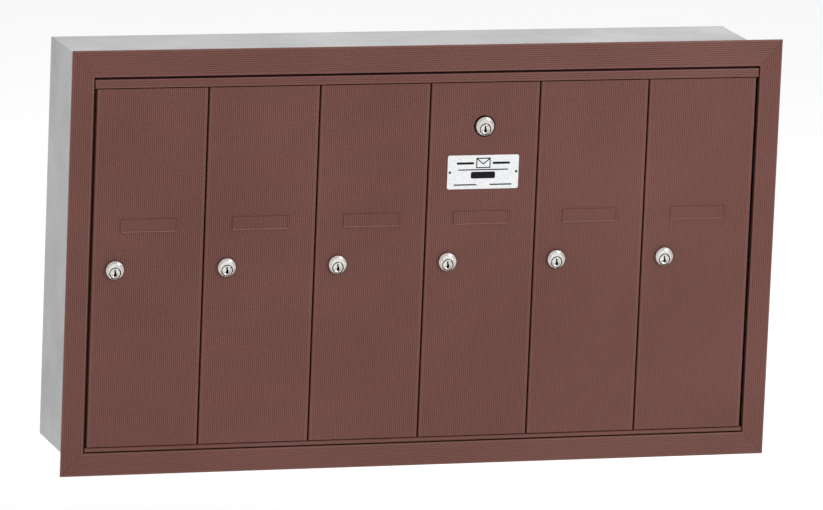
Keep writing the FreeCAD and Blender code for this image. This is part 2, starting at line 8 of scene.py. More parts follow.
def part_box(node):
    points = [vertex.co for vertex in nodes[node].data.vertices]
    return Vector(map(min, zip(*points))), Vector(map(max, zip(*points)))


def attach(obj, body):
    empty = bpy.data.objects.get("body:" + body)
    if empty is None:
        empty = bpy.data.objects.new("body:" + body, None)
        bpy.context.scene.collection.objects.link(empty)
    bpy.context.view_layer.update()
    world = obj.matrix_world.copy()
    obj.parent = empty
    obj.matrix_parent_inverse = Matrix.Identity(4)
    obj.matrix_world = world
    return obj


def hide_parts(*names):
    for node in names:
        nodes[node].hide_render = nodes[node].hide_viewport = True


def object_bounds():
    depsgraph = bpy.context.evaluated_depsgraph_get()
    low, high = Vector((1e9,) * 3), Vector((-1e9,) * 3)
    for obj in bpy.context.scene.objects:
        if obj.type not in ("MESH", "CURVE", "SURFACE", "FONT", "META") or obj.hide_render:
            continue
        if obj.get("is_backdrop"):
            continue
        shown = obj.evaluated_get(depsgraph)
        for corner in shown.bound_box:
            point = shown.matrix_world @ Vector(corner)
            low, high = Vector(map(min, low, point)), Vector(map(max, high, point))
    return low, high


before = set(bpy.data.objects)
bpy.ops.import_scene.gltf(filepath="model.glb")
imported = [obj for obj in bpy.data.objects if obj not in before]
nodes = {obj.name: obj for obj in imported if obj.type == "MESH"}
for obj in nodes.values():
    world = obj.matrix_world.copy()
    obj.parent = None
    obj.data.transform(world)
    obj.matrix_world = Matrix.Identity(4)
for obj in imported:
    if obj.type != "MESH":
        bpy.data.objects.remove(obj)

CAD_LOW, CAD_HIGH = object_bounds()
MM = 0.001
PITCH = 2.5 * MM    # reeding, rib to rib
RIB = 0.6 * MM      # depth of a groove
RIB_SHAPE = ((0.0, 1.0), (0.16, 0.36), (0.34, 0.06), (0.5, 0.0), (0.66, 0.06), (0.84, 0.36))
PAST = 1 * MM       # how far a cutter goes past what it cuts
DOORS = range(1, 7)


# ---------------------------------------------------------------- materials

def new_material(name):
    mat = bpy.data.materials.new(name)
    mat.use_nodes = True
    tree = mat.node_tree
    shader = tree.nodes["Principled BSDF"]
    return mat, tree, shader


def node(tree, kind, **values):
    made = tree.nodes.new(kind)
    for key, value in values.items():
        if key in made.inputs:
            made.inputs[key].default_value = value
        else:
            setattr(made, key, value)
    return made


def coords(tree, scale):
    """Object coordinates stretched by scale on each axis."""
    place = tree.nodes.new("ShaderNodeTexCoord")
    mapping = tree.nodes.new("ShaderNodeMapping")
    mapping.inputs["Scale"].default_value = scale
    tree.links.new(place.outputs["Object"], mapping.inputs["Vector"])
    return mapping.outputs["Vector"]


def noise(tree, scale, detail=3.0, rough=0.55, stretch=(1, 1, 1)):
    made = node(tree, "ShaderNodeTexNoise", Scale=scale, Detail=detail, Roughness=rough)
    tree.links.new(coords(tree, stretch), made.inputs["Vector"])
    return made.outputs["Fac"]


def ramp(tree, source, stops):
    made = tree.nodes.new("ShaderNodeValToRGB")
    elements = made.color_ramp.elements
    while len(elements) < len(stops):
        elements.new(0.5)
    for element, (place, colour) in zip(elements, stops):
        element.position = place
        element.color = (*colour, 1)
    tree.links.new(source, made.inputs["Fac"])
    return made.outputs["Color"]


def spread(tree, source, low, high):
    """Maps the middle of a noise to the range from low to high."""
    made = tree.nodes.new("ShaderNodeMapRange")
    made.inputs["From Min"].default_value = 0.3
    made.inputs["From Max"].default_value = 0.7
    made.inputs["To Min"].default_value = low
    made.inputs["To Max"].default_value = high
    tree.links.new(source, made.inputs["Value"])
    return made.outputs["Result"]


def bump(tree, shader, source, strength, distance):
    made = node(tree, "ShaderNodeBump", Strength=strength, Distance=distance)
    tree.links.new(source, made.inputs["Height"])
    tree.links.new(made.outputs["Normal"], shader.inputs["Normal"])


def multiply(tree, factor, first, second):
    made = tree.nodes.new("ShaderNodeMix")
    made.data_type = "RGBA"
    made.blend_type = "MULTIPLY"
    made.inputs["Factor"].default_value = factor
    tree.links.new(first, made.inputs["A"])
    tree.links.new(second, made.inputs["B"])
    return made.outputs["Result"]


def powder_coat():
    """Bronze powder coat: slow colour drift, fine speckle and a slight orange peel."""
    mat, tree, shader = new_material("bronze_powder")
    slow = ramp(tree, noise(tree, 5.0, 4.0), [
        (0.30, (0.134, 0.050, 0.038)), (0.55, (0.150, 0.056, 0.045)), (0.75, (0.163, 0.062, 0.052))])
    speck = ramp(tree, noise(tree, 900.0, 2.0, 0.7), [
        (0.35, (0.84, 0.84, 0.84)), (0.60, (1.0, 1.0, 1.0)), (0.78, (1.14, 1.10, 1.10))])
    tree.links.new(multiply(tree, 0.8, slow, speck), shader.inputs["Base Color"])
    tree.links.new(spread(tree, noise(tree, 40.0, 4.0), 0.40, 0.52), shader.inputs["Roughness"])
    bump(tree, shader, noise(tree, 1400.0, 2.0), 0.18, 0.0002)
    shader.inputs["Specular IOR Level"].default_value = 0.3
    return mat


def mill_sheet():
    """Mill aluminium sheet: rolling grain along X with soft cloudy patches."""
    mat, tree, shader = new_material("mill_sheet")
    cloud = ramp(tree, noise(tree, 7.0, 5.0, 0.6), [
        (0.30, (0.37, 0.373, 0.375)), (0.52, (0.44, 0.443, 0.445)), (0.75, (0.51, 0.513, 0.516))])
    grain = ramp(tree, noise(tree, 260.0, 3.0, 0.6, (0.04, 1.0, 1.0)), [
        (0.35, (0.90, 0.90, 0.90)), (0.65, (1.05, 1.05, 1.05))])
    tree.links.new(multiply(tree, 0.6, cloud, grain), shader.inputs["Base Color"])
    rough = spread(tree, noise(tree, 18.0, 5.0, 0.6), 0.60, 0.74)
    tree.links.new(rough, shader.inputs["Roughness"])
    bump(tree, shader, noise(tree, 420.0, 3.0, 0.6, (0.05, 1.0, 1.0)), 0.12, 0.0002)
    shader.inputs["Metallic"].default_value = 0.55
    return mat


def plated(name, dark, light, rough_low, rough_high, scale):
    """Plated metal with fine handling marks."""
    mat, tree, shader = new_material(name)
    tint = ramp(tree, noise(tree, scale, 4.0), [(0.30, dark), (0.70, light)])
    tree.links.new(tint, shader.inputs["Base Color"])
    rough = spread(tree, noise(tree, scale * 3, 3.0, 0.6, (1, 1, 0.3)), rough_low, rough_high)
    tree.links.new(rough, shader.inputs["Roughness"])
    bump(tree, shader, noise(tree, scale * 6, 2.0, 0.6, (1, 1, 0.25)), 0.08, 0.0001)
    shader.inputs["Metallic"].default_value = 1.0
    return mat


def plain(name, dark, light, rough, scale, gloss=0.5):
    """Paint, ink, plastic or painted shade with a slight mottle."""
    mat, tree, shader = new_material(name)
    tint = ramp(tree, noise(tree, scale, 3.0), [(0.35, dark), (0.65, light)])
    tree.links.new(tint, shader.inputs["Base Color"])
    tree.links.new(spread(tree, noise(tree, scale * 0.5), rough, rough + 0.1), shader.inputs["Roughness"])
    bump(tree, shader, noise(tree, scale * 2), 0.06, 0.0001)
    shader.inputs["Specular IOR Level"].default_value = gloss
    return mat


PAINT = powder_coat()
SHEET = mill_sheet()
NICKEL = plated("nickel_plate", (0.50, 0.475, 0.455), (0.66, 0.635, 0.61), 0.12, 0.28, 150.0)
ZINC = plated("zinc_plate", (0.50, 0.50, 0.49), (0.63, 0.63, 0.60), 0.28, 0.46, 90.0)
RIVET = plated("rivet_metal", (0.58, 0.58, 0.59), (0.70, 0.70, 0.71), 0.30, 0.45, 200.0)
PIN = plated("pin_steel", (0.035, 0.034, 0.033), (0.06, 0.058, 0.056), 0.5, 0.65, 120.0)
EDGE = plain("holder_edge", (0.17, 0.072, 0.060), (0.20, 0.085, 0.072), 0.3, 200.0)
WHITE = plain("label_enamel", (0.64, 0.65, 0.66), (0.75, 0.76, 0.77), 0.28, 500.0)
INK = plain("label_ink", (0.004, 0.004, 0.006), (0.012, 0.012, 0.016), 0.5, 600.0, 0.08)
# Painted shade: a near-black colour on the walls of the key slots and of the groove round each plug, where
# shade falls in those recesses.
PAINTED_SHADE = plain("painted_recess_shade", (0.004, 0.004, 0.004), (0.010, 0.009, 0.008), 0.6, 800.0, 0.1)


# ---------------------------------------------------------------- mesh helpers

def link_mesh(name, bm, mats=()):
    """Turns a bmesh into a linked object."""
    mesh = bpy.data.meshes.new(name)
    bm.to_mesh(mesh)
    bm.free()
    for mat in mats:
        mesh.materials.append(mat)
    made = bpy.data.objects.new(name, mesh)
    bpy.context.scene.collection.objects.link(made)
    return made


def make(name, bm, mats, body, replaced=()):
    """Turns a bmesh into a piece that rides on a body."""
    bmesh.ops.recalc_face_normals(bm, faces=bm.faces)
    piece = link_mesh(name, bm, mats)
    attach(piece, body)
    if replaced:
        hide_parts(*replaced)
    return piece


def solid(bm, mats=()):
    """A loose object that only serves as a cutter."""
    bmesh.ops.recalc_face_normals(bm, faces=bm.faces)
    return link_mesh("cutter", bm, mats)


def loft(bm, first, second, material=0):
    """A closed solid between two rings of points with the same count."""
    a = [bm.verts.new(point) for point in first]
    b = [bm.verts.new(point) for point in second]
    count = len(a)
    faces = [bm.faces.new(a), bm.faces.new(list(reversed(b)))]
    for index in range(count):
        after = (index + 1) % count
        faces.append(bm.faces.new((a[index], b[index], b[after], a[after])))
    for face in faces:
        face.material_index = material


def along_x(bm, ring, x0, x1):
    """An extrusion along X from a ring of (y, z) points."""
    loft(bm, [(x0, y, z) for y, z in ring], [(x1, y, z) for y, z in ring])


def along_y(bm, ring, y0, y1):
    """An extrusion along Y from a ring of (x, z) points."""
    loft(bm, [(x, y0, z) for x, z in ring], [(x, y1, z) for x, z in ring])


def along_z(bm, ring, z0, z1, material=0):
    """An extrusion along Z from a ring of (x, y) points."""
    loft(bm, [(x, y, z0) for x, y in ring], [(x, y, z1) for x, y in ring], material)


def box(bm, low, high, material=0):
    x0, y0, z0 = low
    x1, y1, z1 = high
    along_z(bm, [(x0, y0), (x1, y0), (x1, y1), (x0, y1)], z0, z1, material)


def lathe(bm, profile, centre, steps=64, smooth=True):
    """Spins (radius, y) points about the Y axis through centre (x, z) and caps both ends."""
    x, z = centre
    rings = []
    for radius, y in profile:
        ring = []
        for step in range(steps):
            angle = 2 * math.pi * step / steps
            ring.append(bm.verts.new((x + radius * math.cos(angle), y, z + radius * math.sin(angle))))
        rings.append(ring)
    for ring, after in zip(rings, rings[1:]):
        for step in range(steps):
            following = (step + 1) % steps
            face = bm.faces.new((ring[step], ring[following], after[following], after[step]))
            face.smooth = smooth
    for ring in (rings[0], rings[-1]):
        bm.faces.new(ring)


def rod_cutter(centre, radius, y0, y1, steps=72, mats=()):
    bm = bmesh.new()
    lathe(bm, [(radius, y0), (radius, y1)], centre, steps)
    return solid(bm, mats)


def settle(piece):
    """Applies the modifiers of a piece to its mesh."""
    bpy.context.view_layer.update()
    graph = bpy.context.evaluated_depsgraph_get()
    result = bpy.data.meshes.new_from_object(piece.evaluated_get(graph))
    piece.modifiers.clear()
    old = piece.data
    piece.data = result
    bpy.data.meshes.remove(old)


def carve(piece, cutters):
    """Cuts the cutters out of the piece and removes them."""
    for cutter in cutters:
        if not cutter.data.materials:
            cutter.data.materials.append(piece.data.materials[0])
        change = piece.modifiers.new("cut", "BOOLEAN")
        change.operation = "DIFFERENCE"
        change.solver = "EXACT"
        change.object = cutter
    settle(piece)
    for cutter in cutters:
        mesh = cutter.data
        bpy.data.objects.remove(cutter)
        bpy.data.meshes.remove(mesh)


def soften(piece, width):
    """Rounds the hard edges of a piece."""
    change = piece.modifiers.new("soft", "BEVEL")
    change.width = width
    change.segments = 2
    change.limit_method = "ANGLE"
    change.angle_limit = math.radians(40)
    settle(piece)


def reeding(start, stop, face):
    """Points (along, height) of a row of rounded ribs; the grooves go back from the face."""
    span = abs(stop - start)
    way = 1 if stop > start else -1
    count = max(1, round(span / PITCH))
    pitch = span / count
    points = []
    for rib in range(count):
        base = start + way * rib * pitch
        for part, drop in RIB_SHAPE:
            points.append((base + way * part * pitch, face + drop * RIB))
    points[0] = (start, face + 0.5 * RIB)
    points.append((stop, face + 0.5 * RIB))
    return points


# ---------------------------------------------------------------- trim frame

top_low, top_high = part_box("trim_top")
base_low, base_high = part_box("trim_bottom")
left_low, left_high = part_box("trim_left")
right_low, right_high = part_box("trim_right")
FACE_THICK, BEAD, BEAD_DEEP = 3 * MM, 3 * MM, 7 * MM        # face bar, and bead along the opening
TRIM_BANDS = 0.9 * MM, 0.7 * MM         # plain bands beside the opening and the outer edge
TRIM_DROPS = 0.6 * MM, 0.5 * MM         # how far those two edges fall back
FRONT, LEG_BACK = top_low.y, top_high.y
WALL_SIDE, BEAD_BACK = FRONT + FACE_THICK, FRONT + BEAD_DEEP
OPEN = {"left": left_high.x, "right": right_low.x, "top": top_low.z, "bottom": base_high.z}
OUTER = {"left": left_low.x, "right": right_high.x, "top": top_high.z, "bottom": base_low.z}
NEIGHBOURS = {"top": ("left", "right"), "bottom": ("left", "right"),
              "left": ("bottom", "top"), "right": ("bottom", "top")}
SEAM = 0.12 * MM        # half of the gap at a mitre
BODY_SHEET = 1.6 * MM
LEG = 2.2 * MM          # thickness of the leg inside the box
LEG_ENDS = {"upright": 10 * MM, "level": 5 * MM}       # how far a leg stops short


def trim_member(side):
    """A mitred face bar with a bead along the opening."""
    width = abs(OUTER[side] - OPEN[side])
    profile = [(0.0, FRONT + TRIM_DROPS[0])] + reeding(TRIM_BANDS[0], width - TRIM_BANDS[1], FRONT)
    profile += [(width, FRONT + TRIM_DROPS[1]), (width, WALL_SIDE)]
    profile += [(BEAD, WALL_SIDE), (BEAD, BEAD_BACK), (0.0, BEAD_BACK)]
    upright = side in ("left", "right")
    sign = 1 if OUTER[side] > OPEN[side] else -1
    bm = bmesh.new()
    ends = []
    for end in NEIGHBOURS[side]:
        reach = OUTER[end] - OPEN[end]
        back = SEAM if reach < 0 else -SEAM
        ring = []
        for offset, y in profile:
            across = OPEN[side] + sign * offset
            along = OPEN[end] + reach * offset / width + back
            ring.append((across, y, along) if upright else (along, y, across))
        ends.append(ring)
    loft(bm, *ends)
    return bm


def trim_leg(bm, side):
    """The part of a member that goes inside the box."""
    inner_x, inner_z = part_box("body_bottom_panel")[1].x, -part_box("body_bottom_panel")[0].z - BODY_SHEET
    if side in ("left", "right"):
        sign = 1 if side == "right" else -1
        x = sorted((sign * inner_x, sign * (inner_x - LEG)))
        reach = inner_z - LEG_ENDS["upright"]
        box(bm, (x[0], WALL_SIDE, -reach), (x[1], LEG_BACK, reach))
    else:
        sign = 1 if side == "top" else -1
        z = sorted((sign * inner_z, sign * (inner_z - LEG)))
        reach = OPEN["right"] - LEG_ENDS["level"]
        box(bm, (-reach, WALL_SIDE, z[0]), (reach, LEG_BACK, z[1]))


for side in ("top", "bottom", "left", "right"):
    bm = trim_member(side)
    trim_leg(bm, side)
    make(f"frame_{side}", bm, [PAINT], "box", [f"trim_{side}"])


# ---------------------------------------------------------------- master panel rails

RAIL_WALL, RAIL_FLOOR = 2 * MM, 2.5 * MM
RAIL_EDGE, RAIL_CHAMFER = 0.5 * MM, 0.4 * MM
NOSE_STEPS, NOSE_LINES, NOSE_LINE_DEPTH = 24, (8, 12, 16), 0.22 * MM

rail_low, rail_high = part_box("master_top_rail")
front_in, back_in = rail_low.y + RAIL_WALL, rail_high.y - RAIL_WALL
ring = [(front_in, rail_high.z), (rail_low.y + RAIL_CHAMFER, rail_high.z)]
ring += [(y, z) for z, y in reeding(rail_high.z - RAIL_EDGE, rail_low.z + RAIL_EDGE, rail_low.y)]
ring += [(rail_low.y + RAIL_CHAMFER, rail_low.z), (rail_high.y, rail_low.z), (rail_high.y, rail_high.z)]
ring += [(back_in, rail_high.z), (back_in, rail_low.z + RAIL_FLOOR), (front_in, rail_low.z + RAIL_FLOOR)]
bm = bmesh.new()
along_x(bm, ring, rail_low.x, rail_high.x)
make("rail_top", bm, [PAINT], "master_panel", ["master_top_rail"])

nose_low, nose_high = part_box("master_bottom_rail")
radius = (nose_high.z - nose_low.z) / 2
centre_y, centre_z = nose_low.y + radius, (nose_low.z + nose_high.z) / 2
ring = [(nose_high.y, nose_low.z)]
for step in range(NOSE_STEPS + 1):
    angle = math.radians(-90 - 180 * step / NOSE_STEPS)
    wave = radius - (NOSE_LINE_DEPTH if step in NOSE_LINES else 0.0)
    ring.append((centre_y + wave * math.cos(angle), centre_z + wave * math.sin(angle)))
ring.append((nose_high.y, nose_high.z))
bm = bmesh.new()
along_x(bm, ring, nose_low.x, nose_high.x)
make("rail_bottom", bm, [PAINT], "master_panel", ["master_bottom_rail"])


# ---------------------------------------------------------------- doors

DOOR_SKIN = 2.2 * MM
BLOCK_WIDE, BLOCK_DEEP = 9 * MM, 8.5 * MM       # hinge block behind the right edge
HOOK = 2 * MM                                   # thickness of the return behind the left edge
CORNER_LEFT = ((0.0, 1.3), (0.4, 0.5), (1.3, 0.0))      # in from the edge, back from the front, mm
CORNER_RIGHT = ((1.5, 0.05), (0.5, 0.5), (0.0, 1.5))
RIBS_IN = 2.2 * MM, 2.6 * MM                    # plain bands left and right of the ribs

FLANGE_R, MASTER_FLANGE_R = 11.75 * MM, 12 * MM
PLUG_R, BORE_R = 6.3 * MM, 6.42 * MM
PLUG_DROP, BARREL_DROP = 3.4 * MM, 1.2 * MM     # below the flange axis
LOCK_HOLE_R, MASTER_HOLE_R = 9.6 * MM, 13.5 * MM
MASTER_DOOR = 4


def door_ring(low, high):
    """Outline of a door extrusion seen from above, as (x, y)."""
    front, back = low.y, low.y + DOOR_SKIN
    left, right = low.x, high.x
    block_x, block_y = right - BLOCK_WIDE, front + BLOCK_DEEP
    ring = [(left + across * MM, front + deep * MM) for across, deep in CORNER_LEFT]
    ring += reeding(left + RIBS_IN[0], right - RIBS_IN[1], front)
    ring += [(right - across * MM, front + deep * MM) for across, deep in CORNER_RIGHT]
    ring += [(right, block_y), (block_x, block_y), (block_x, back)]
    ring += [(left + HOOK, back), (left + HOOK, high.y), (left, high.y)]
    return ring


def lock_centre(number):
    """(x, z) of the flange axis, from the plug's box."""
    low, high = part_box(f"lock_{number}_plug")
    return (low.x + high.x) / 2, high.z - PLUG_R + PLUG_DROP


MASTER_AT = ((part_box("master_lock_plug")[0].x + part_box("master_lock_plug")[1].x) / 2,
             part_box("master_lock_plug")[1].z - PLUG_R + PLUG_DROP)

for number in DOORS:
    low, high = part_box(f"door_{number}_panel")
    bm = bmesh.new()
    along_z(bm, door_ring(low, high), low.z, high.z)
    door = make(f"door_{number}", bm, [PAINT], f"door_{number}", [f"door_{number}_panel"])
    x, z = lock_centre(number)
    cut = low.y - 2 * PAST, low.y + 4 * PAST
    cutters = [rod_cutter((x, z - BARREL_DROP), LOCK_HOLE_R, *cut)]
    if number == MASTER_DOOR:
        cutters.append(rod_cutter(MASTER_AT, MASTER_HOLE_R, *cut))
    carve(door, cutters)


# ---------------------------------------------------------------- locks

# In mm: (in from the rim, back from the seat or the front), and for the plug (radius, back from the front).
FACE_RIM = ((0.35, 0.0), (0.0, -0.3))
FACE_DOME = ((0.1, 2.1), (0.45, 1.15), (1.1, 0.5), (1.7, 0.2),
             (1.9, 0.75), (2.6, 0.8), (2.8, 0.15), (3.3, 0.0))
PLUG_DOME = ((6.3, 0.5), (6.12, 0.12), (5.8, -0.05), (4.5, 0.05), (4.3, 0.22), (3.0, 0.25))
GROOVE_R, GROOVE_DEEP = 7.3 * MM, 1.1 * MM      # groove round the plug, its walls painted dark as shade
PLUG_SUNK = 0.3 * MM
# Outline of the key slot round the plug's axis, in mm.
KEYWAY = ((-1.0, 4.0), (0.9, 4.0), (0.9, 1.3), (1.9, 0.2), (2.1, -3.0), (1.0, -4.2),
          (-1.3, -4.2), (-1.5, -2.4), (-1.9, -1.5), (-0.7, -0.2), (-1.0, 1.0))
KEYWAY_DEEP = 3.4 * MM
BARREL_R, THREAD_STEP, THREAD_DEEP = 9.5 * MM, 0.5 * MM, 0.35 * MM
BARREL_CHAMFERS = 0.3 * MM, 0.5 * MM            # at the seat and at the back
BARREL_FLAT = 8.7 * MM                          # from the axis to a flat side
NUT_HALF, NUT_THICK, NUT_ROUND = 12 * MM, 2.4 * MM, 0.35 * MM
FINE, COARSE = 96, 40                           # steps round a lock face and a screw
CAM_R, CAM_STEPS, CAM_TIP_R, CAM_TIP_STEPS, CAM_ROUND = 6 * MM, 12, 5 * MM, 8, 0.3 * MM
SCREW_R, SCREW_SLOT_HALF, SCREW_SLOT_DEEP = 4.4 * MM, 0.5 * MM, 0.7 * MM


def make_face(prefix, at, body, replaced, flange, front, seat):
    """Domed flange with an off-centre bore and a groove round it whose walls are painted dark as shade."""
    x, z = at
    bm = bmesh.new()
    profile = [(flange - inset * MM, seat + deep * MM) for inset, deep in FACE_RIM]
    profile += [(flange - inset * MM, front + deep * MM) for inset, deep in FACE_DOME]
    lathe(bm, profile, (x, z), FINE)
    housing = make(f"{prefix}_face", bm, [NICKEL, PAINTED_SHADE], body, replaced)
    plug_at = x, z - PLUG_DROP
    # The groove cutter carries the painted shade onto the groove's walls.
    carve(housing, [rod_cutter(plug_at, GROOVE_R, front - PAST, front + GROOVE_DEEP, FINE, [PAINTED_SHADE]),
                    rod_cutter(plug_at, BORE_R, front - 2 * PAST, seat + 2 * PAST, FINE)])


def make_barrel(prefix, at, body, seat, barrel_back):
    """Threaded barrel with two flats and the plug's bore."""
    x, z = at
    barrel_z = z - BARREL_DROP
    bm = bmesh.new()
    y = seat
    profile = [(BARREL_R - BARREL_CHAMFERS[0], y)]
    while y + THREAD_STEP < barrel_back:
        y += THREAD_STEP
        profile.append((BARREL_R if len(profile) % 2 else BARREL_R - THREAD_DEEP, y))
    profile.append((BARREL_R - BARREL_CHAMFERS[1], barrel_back))
    lathe(bm, profile, (x, barrel_z), smooth=False)
    barrel = make(f"{prefix}_barrel", bm, [NICKEL], body)
    cutters = [rod_cutter((x, z - PLUG_DROP), BORE_R, seat - PAST, barrel_back + PAST, FINE)]
    over = 12 * PAST
    for sign in (-1, 1):
        sides = sorted((x + sign * BARREL_FLAT, x + sign * over))
        flat = bmesh.new()
        box(flat, (sides[0], seat + THREAD_STEP, barrel_z - over),
            (sides[1], barrel_back + PAST, barrel_z + over))
        cutters.append(solid(flat))
    carve(barrel, cutters)


def make_nut(prefix, at, body, near):
    """Hexagonal nut on the barrel."""
    x, z = at
    barrel_z = z - BARREL_DROP
    corner = NUT_HALF / math.cos(math.radians(30))
    angles = [math.radians(60 * side) for side in range(6)]
    hexagon = [(x + corner * math.cos(angle), barrel_z + corner * math.sin(angle)) for angle in angles]
    far = near + NUT_THICK
    bm = bmesh.new()
    along_y(bm, hexagon, near, far)
    nut = make(f"{prefix}_nut", bm, [ZINC], body)
    carve(nut, [rod_cutter((x, barrel_z), BARREL_R, near - PAST, far + PAST)])
    soften(nut, NUT_ROUND)


def make_plug(prefix, plug_at, body, replaced, plug_front, plug_back):
    """Plug with a jogged key slot whose walls are painted dark as shade."""
    x, z = plug_at
    bm = bmesh.new()
    profile = [(PLUG_R, plug_back)] + [(radius * MM, plug_front + deep * MM) for radius, deep in PLUG_DOME]
    lathe(bm, profile, plug_at, FINE)
    plug = make(f"{prefix}_plug_face", bm, [NICKEL, PAINTED_SHADE], body, replaced)
    slot = bmesh.new()
    along_y(slot, [(x + px * MM, z + pz * MM) for px, pz in KEYWAY],
            plug_front - PAST, plug_front + KEYWAY_DEEP)
    # The slot cutter carries the painted shade onto the slot's walls.
    carve(plug, [solid(slot, [PAINTED_SHADE])])


def nut_front(prefix):
    """The face that a lock's nut sits against."""
    if prefix == "master":
        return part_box("master_lock_bracket")[1].y
    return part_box("door_1_panel")[0].y + DOOR_SKIN


def make_lock(prefix, names, at, bodies, flange, front, seat, barrel_back, plug_back):
    """Face, barrel, nut and plug of one lock; gives back the plug's axis."""
    housing_node, plug_node = names
    plug_at = at[0], at[1] - PLUG_DROP
    make_face(prefix, at, bodies[0], [housing_node], flange, front, seat)
    make_barrel(prefix, at, bodies[0], seat, barrel_back)
    make_nut(prefix, at, bodies[0], nut_front(prefix))
    make_plug(prefix, plug_at, bodies[1], [plug_node], front + PLUG_SUNK, plug_back)
    return plug_at


def make_cam(name, body, plug_at, low, high, tail_to, replaced, along):
    """Flat cam with a round tip and the slotted screw that holds it."""
    x, z = plug_at
    reach = (z - low.z) if along == "z" else (x - low.x)
    tip = reach - CAM_TIP_R
    ring = []
    for step in range(CAM_STEPS + 1):
        angle = math.pi * step / CAM_STEPS
        ring.append((CAM_R * math.cos(angle), CAM_R * math.sin(angle)))
    for step in range(CAM_TIP_STEPS + 1):
        angle = math.pi + math.pi * step / CAM_TIP_STEPS
        ring.append((CAM_TIP_R * math.cos(angle), -tip + CAM_TIP_R * math.sin(angle)))
    if along == "x":
        ring = [(b, -a) for a, b in ring]
    bm = bmesh.new()
    along_y(bm, [(x + a, z + b) for a, b in ring], low.y, high.y)
    cam = make(name, bm, [ZINC], body, replaced)
    soften(cam, CAM_ROUND)

    bm = bmesh.new()
    profile = [(SCREW_R, high.y), (SCREW_R, high.y + 0.7 * MM),
               (SCREW_R - 0.5 * MM, tail_to - 0.2 * MM), (SCREW_R - 1.4 * MM, tail_to)]
    lathe(bm, profile, (x, z), COARSE)
    screw = make(name + "_screw", bm, [ZINC], body)
    over = 6 * PAST
    slot = bmesh.new()
    box(slot, (x - over, tail_to - SCREW_SLOT_DEEP, z - SCREW_SLOT_HALF),
        (x + over, tail_to + PAST, z + SCREW_SLOT_HALF))
    carve(screw, [solid(slot)])


for number in DOORS:
    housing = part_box(f"lock_{number}_housing")
    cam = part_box(f"lock_{number}_cam")
    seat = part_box(f"door_{number}_panel")[0].y
    bodies = (f"door_{number}", f"tenant_lock_{number}")
    names = (f"lock_{number}_housing", f"lock_{number}_plug")
    at = make_lock(f"lock_{number}", names, lock_centre(number), bodies, FLANGE_R,
                   housing[0].y, seat, housing[1].y, cam[0].y)
    make_cam(f"cam_{number}", bodies[1], at, *cam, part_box(f"lock_{number}_plug")[1].y,
             [f"lock_{number}_cam"], "z")

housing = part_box("master_lock_housing")
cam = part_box("master_lock_cam")
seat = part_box("master_lock_bracket")[0].y
names = ("master_lock_housing", "master_lock_plug")
at = make_lock("master", names, MASTER_AT, ("master_panel", "master_lock"), MASTER_FLANGE_R,
               housing[0].y, seat, housing[1].y, cam[0].y)
make_cam("master_cam", "master_lock", at, *cam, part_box("master_lock_plug")[1].y, ["master_lock_cam"], "x")


# ---------------------------------------------------------------- label and card holders

# The printed marks in mm from the middle of the label: line width, lines, and bars with their corner radius.
STROKE = 1.3
ENVELOPE = (((-8.5, 5.5), (8.5, 5.5), (8.5, 17), (-8.5, 17), (-8.5, 5.5)),
            ((-8, 16.5), (0, 10), (8, 16.5)))
BARS = ((-34, -12, 9.6, 12.4, 0.8), (12, 34, 9.6, 12.4, 0.8), (-15.5, 15.5, -8, 0.4, 2.0),
        (-37, -8, -16.5, -14.9, 0.5), (9, 37, -16.5, -14.9, 0.5), (-32, 32, 2.2, 3.6, 0.5))
LABEL_CORNER, LABEL_ROUND = 2.5 * MM, 0.15 * MM
INK_RISE, INK_SUNK = 0.04 * MM, 0.1 * MM
STUD_R, STUD_STEPS = 1.6 * MM, 24
LIP, LIP_RISE = 1.0 * MM, 0.3 * MM      # bottom lip of a card holder
LIP_INSET = 0.01 * MM


def rounded(x0, x1, z0, z1, radius, steps=6):
    """A rectangle with round corners, as (x, z) points."""
    ring = []
    for cx, cz, start in ((x1 - radius, z1 - radius, 0), (x0 + radius, z1 - radius, 90),
                          (x0 + radius, z0 + radius, 180), (x1 - radius, z0 + radius, 270)):
        for step in range(steps + 1):
            angle = math.radians(start + 90 * step / steps)
            ring.append((cx + radius * math.cos(angle), cz + radius * math.sin(angle)))
    return ring


low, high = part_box("label_plate")
mid_x, mid_z = (low.x + high.x) / 2, (low.z + high.z) / 2
ink = low.y - INK_RISE, low.y + INK_SUNK
bm = bmesh.new()
along_y(bm, rounded(low.x, high.x, low.z, high.z, LABEL_CORNER), low.y, high.y)
label = make("label", bm, [WHITE], "door_4", ["label_plate"])
soften(label, LABEL_ROUND)


def stroke(bm, points):
    """A printed line through the points, as one box per run."""
    for (xa, za), (xb, zb) in zip(points, points[1:]):
        a, b = Vector((xa, 0, za)), Vector((xb, 0, zb))
        way = (b - a).normalized()
        side = way.cross(Vector((0, 1, 0))) * STROKE / 2
        ends = way * STROKE / 2
        ring = [a - ends + side, b + ends + side, b + ends - side, a - ends - side]
        along_y(bm, [(mid_x + p.x * MM, mid_z + p.z * MM) for p in ring], *ink)


bm = bmesh.new()
for points in ENVELOPE:
    stroke(bm, points)
for x0, x1, z0, z1, corner in BARS:
    ring = rounded(mid_x + x0 * MM, mid_x + x1 * MM, mid_z + z0 * MM, mid_z + z1 * MM, corner * MM, 4)
    along_y(bm, ring, *ink)
make("label_print", bm, [INK], "door_4")

low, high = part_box("label_rivets")
bm = bmesh.new()
for x in (low.x + STUD_R, high.x - STUD_R):
    profile = [(STUD_R, high.y), (STUD_R - 0.1 * MM, low.y + 0.15 * MM), (STUD_R - 0.7 * MM, low.y)]
    lathe(bm, profile, (x, (low.z + high.z) / 2), STUD_STEPS)
make("label_studs", bm, [PIN], "door_4", ["label_rivets"])

